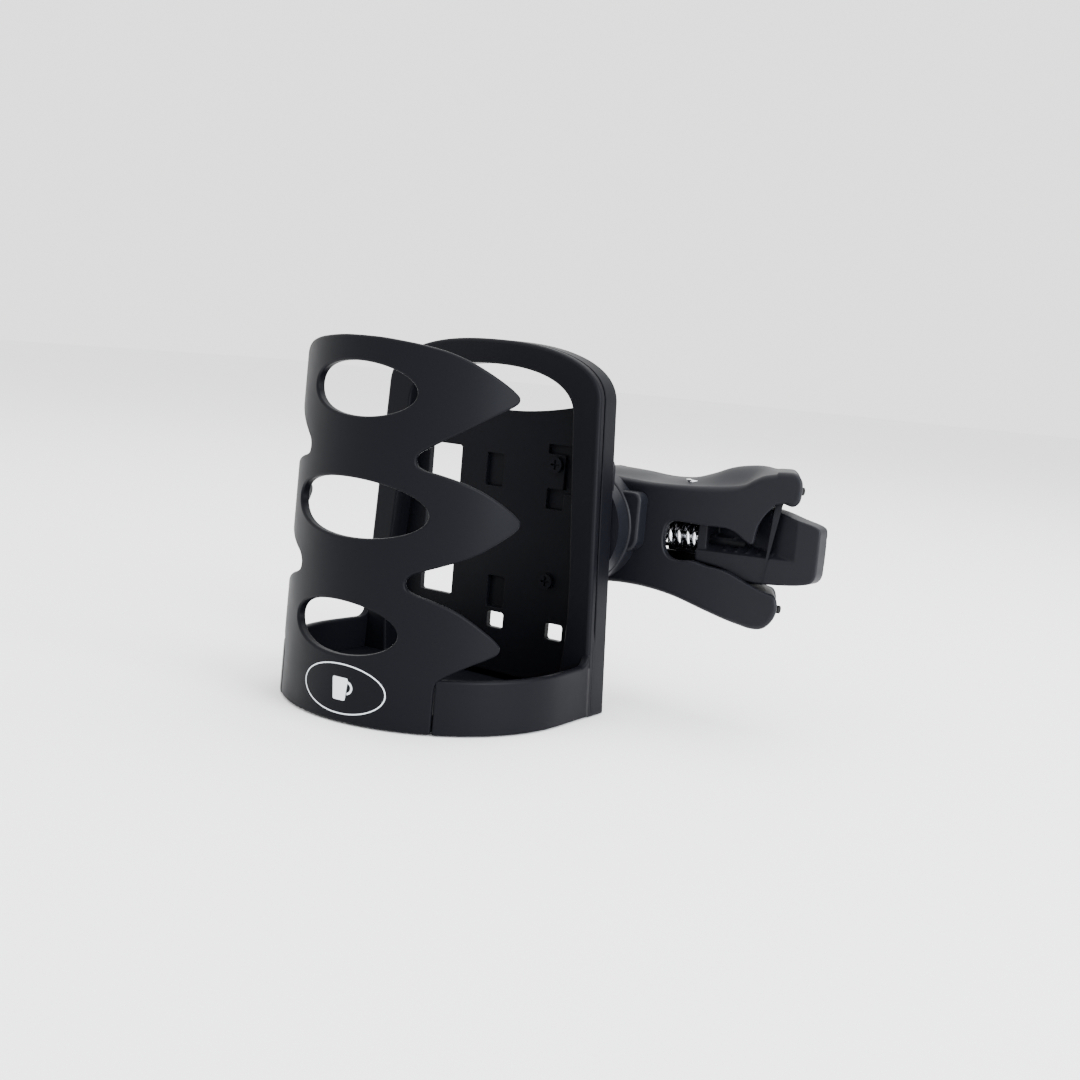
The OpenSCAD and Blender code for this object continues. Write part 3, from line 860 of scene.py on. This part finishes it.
def thumb_slope(x, y):
    """Height of the sloping face that the thumb rests on."""
    return 50.3 + 0.6 * (y - 40) + 0.035 * (x - 62)


scoop = prism("scoop", [(50, 34), (113.6, 34), (50, 52.7)], thumb_slope, level_at(90))
far_plan = [(78, 51.6), (101.5, 45.2), (101.5, 60), (78, 60)]
far_cut = prism("far_cut", far_plan, level_at(30), level_at(80))
groove_plan = [(66, 47.6), (84, 42.6), (84, 43.4), (66, 48.4)]
long_groove = prism("lighten", groove_plan, level_at(66), level_at(67))
combine(slide, [scoop, far_cut, long_groove], "DIFFERENCE")

added = []
for k in range(5):
    x0, x1 = 70.0 + 3.6 * k, 70.0 + 3.6 * k + 1.0
    y1 = 49.4 - 0.2773 * (x0 - 62) - 0.6
    rib_plan = [(x0, 41.2), (x1, 41.2), (x1, y1), (x0, y1)]
    added.append(prism(f"rib{k}", rib_plan, level_at(48.0), lambda x, y: thumb_slope(x, y) + 0.35))
# the heel at the foot of the slope, and the flat tail that carries the moving jaw
tails = [(61.6, 64.5, 41.0, 50.0, 48.4, 58.4), (47.6, 64.0, 49.1, 51.4, 48.0, 59.0)]
for k, (x0, x1, y0, y1, z0, z1) in enumerate(tails):
    tail_plan = [(x0, y0), (x1, y0), (x1, y1), (x0, y1)]
    added.append(prism(f"tail{k}", tail_plan, level_at(z0), level_at(z1)))
combine(slide, added, "UNION")

BORE_SIDES = 32
bore_ring = circle(SPRING_Y, SZ, ROD_BORE, BORE_SIDES)
bore_points = [(x, y, z) for x in (58.0, 75.0) for y, z in bore_ring]
bore = solid("rod_bore", bore_points, bar_faces(BORE_SIDES))
stop_plan = [(60, 44.0), (69.6, 44.0), (69.6, 47.6), (60, 47.6)]
stop_groove = prism("stop_groove", stop_plan, level_at(62.5), level_at(67))
combine(slide, [bore, stop_groove], "DIFFERENCE")
soften(slide, 0.24, 5)
slide.data.materials.append(CLAMP)
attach(slide, "slide")
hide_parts("thumb_slide")

# ---------------------------------------------------------------- slide spring


def coil(x0, x1, turns, mean, thick, steps=44, ring=14):
    """Round wire wound about the spring rod, with a closed turn at each end."""
    n = turns * steps + 1
    k = np.linspace(0, turns, n)
    a = TAU * k
    x = np.interp(k, [0, 1, turns - 1, turns], [x0, x0 + thick, x1 - thick, x1])
    centre = np.c_[x, SPRING_Y + mean * np.cos(a), SZ + mean * np.sin(a)]
    run = np.gradient(centre, axis=0)
    run /= np.linalg.norm(run, axis=1)[:, None]
    out = np.c_[0 * a, np.cos(a), np.sin(a)]
    side = np.cross(run, out)
    b = TAU * np.arange(ring) / ring
    nrm = out[:, None] * np.cos(b)[None, :, None] + side[:, None] * np.sin(b)[None, :, None]
    v = (centre[:, None] + thick / 2 * nrm).reshape(-1, 3)
    nrm = nrm.reshape(-1, 3)
    i, j = np.meshgrid(np.arange(n - 1), np.arange(ring), indexing="ij")
    q = (j + 1) % ring
    f = np.stack([i * ring + j, (i + 1) * ring + j, (i + 1) * ring + q, i * ring + q], -1).reshape(-1, 4)
    if np.cross(v[f[0, 1]] - v[f[0, 0]], v[f[0, 2]] - v[f[0, 1]]) @ nrm[f[0, 0]] < 0:
        f = f[:, ::-1]
    ends = np.vstack([v[:ring], v[-ring:]])
    end_n = np.vstack([np.tile(-run[0], (ring, 1)), np.tile(run[-1], (ring, 1))])
    first = list(range(len(v), len(v) + ring))
    last = list(range(len(v) + ring, len(v) + 2 * ring))
    turn = np.cross(ends[1] - ends[0], ends[2] - ends[1]) @ end_n[0] < 0
    caps = [first[::-1] if turn else first, last if turn else last[::-1]]
    return np.vstack([v, ends]), f.tolist() + caps, np.vstack([nrm, end_n])


wire = coil(40.65, 60.85, 8, 3.4, 1.2)
spring = piece("slide_spring_coil", [wire], BRIGHT, "clamp", "bright_steel", "slide_spring")
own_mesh(spring)

# ---------------------------------------------------------------- CAD nodes that stay

keep = {
    "housing_screws": STEEL, "detent_spring": STEEL, "swivel_socket": CLAMP, "socket_screws": BLACK,
    "friction_washer": RUBBER, "swivel_bolt": STEEL, "swivel_washer": STEEL, "wave_washer": STEEL,
    "swivel_nut": STEEL, "cage_tongue": BLACK, "tongue_screws": STEEL, "cover_screws": STEEL,
    "spring_rod": BRIGHT, "stop_screw": BRIGHT, "tip_bumpers": RUBBER, "fixed_jaw_pad": RUBBER,
    "moving_jaw_pad": RUBBER, "moving_jaw": CLAMP, "jaw_screws": STEEL,
}
for name, mat in keep.items():
    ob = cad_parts[name]
    ob.data.materials.clear()
    ob.data.materials.append(mat)
    mod = ob.modifiers.new("soft_edge", "BEVEL")
    mod.width = 0.0003
    mod.segments = 3
    mod.limit_method = "ANGLE"
    mod.angle_limit = math.radians(35)
    mod.harden_normals = True

# ---------------------------------------------------------------- stage


def area_light(name, place, target, size, power, colour=(1, 1, 1)):
    data = bpy.data.lights.new(name, "AREA")
    data.shape = "RECTANGLE"
    data.size, data.size_y = size
    data.energy = power
    data.color = colour
    ob = bpy.data.objects.new(name, data)
    ob.location = place
    ob.rotation_mode = "QUATERNION"
    ob.rotation_quaternion = (Vector(target) - Vector(place)).to_track_quat("-Z", "Y")
    bpy.context.scene.collection.objects.link(ob)
    return ob


def floor_material():
    """Matt, nearly white, with a faint unevenness."""
    m, nt, b = new_material("pale_floor")
    coord = nt.nodes.new("ShaderNodeTexCoord")
    ramp = nt.nodes.new("ShaderNodeValToRGB")
    ramp.color_ramp.elements[0].color = (0.90, 0.90, 0.905, 1)
    ramp.color_ramp.elements[1].color = (0.93, 0.93, 0.935, 1)
    nt.links.new(noise(nt, coord, 3.0).outputs["Fac"], ramp.inputs["Fac"])
    nt.links.new(ramp.outputs["Color"], b.inputs["Base Color"])
    b.inputs["Roughness"].default_value = 0.9
    b.inputs["Specular IOR Level"].default_value = 0.1
    return m


world = bpy.data.worlds.new("studio")
bpy.context.scene.world = world
world.use_nodes = True
sky = world.node_tree.nodes["Background"]
sky.inputs["Color"].default_value = (1, 1, 1, 1)
sky.inputs["Strength"].default_value = 2.2

# the floor lies a little under the feet, so that the two don't share a plane
FLOOR_HALF, FLOOR_Z = 4.0, -0.0004
fme = bpy.data.meshes.new("floor")
corners = [(FLOOR_HALF * i, FLOOR_HALF * j, FLOOR_Z) for i, j in ((-1, -1), (1, -1), (1, 1), (-1, 1))]
fme.from_pydata(corners, [], [(0, 1, 2, 3)])
fme.materials.append(floor_material())
floor = bpy.data.objects.new("floor", fme)
bpy.context.scene.collection.objects.link(floor)

area_light("key", (-0.35, -0.75, 0.85), (0.02, 0.0, 0.05), (0.7, 0.7), 2.0)
area_light("side", (1.0, -0.15, 0.45), (0.04, 0.03, 0.05), (0.5, 0.9), 26.0, (0.93, 0.96, 1.0))
area_light("top", (0.05, 0.25, 1.1), (0.03, 0.03, 0.05), (0.9, 0.9), 14.0)

# the camera of the photo: where it looks, how far it tilts, and where it stands
AZIMUTH, ELEVATION, ROLL = np.radians([33.94029, 7.45548, 5.00000]).tolist()
cam = bpy.data.cameras.new("camera")
cam.sensor_width = 36.0
cam.lens = 46.525
cam.clip_start = 0.01
cam.clip_end = 50
cob = bpy.data.objects.new("camera", cam)
level = Vector((math.cos(AZIMUTH), math.sin(AZIMUTH), 0))
flat_ahead = Vector((-math.sin(AZIMUTH), math.cos(AZIMUTH), 0))
ahead = flat_ahead * math.cos(ELEVATION) - Vector((0, 0, math.sin(ELEVATION)))
lift = level.cross(ahead)
right = level * math.cos(ROLL) + lift * math.sin(ROLL)
up = lift * math.cos(ROLL) - level * math.sin(ROLL)
m = Matrix((right, up, -ahead)).transposed().to_4x4()
m.translation = Vector((0.24979, -0.3208, 0.10219))
cob.matrix_world = m
bpy.context.scene.collection.objects.link(cob)
bpy.context.scene.camera = cob
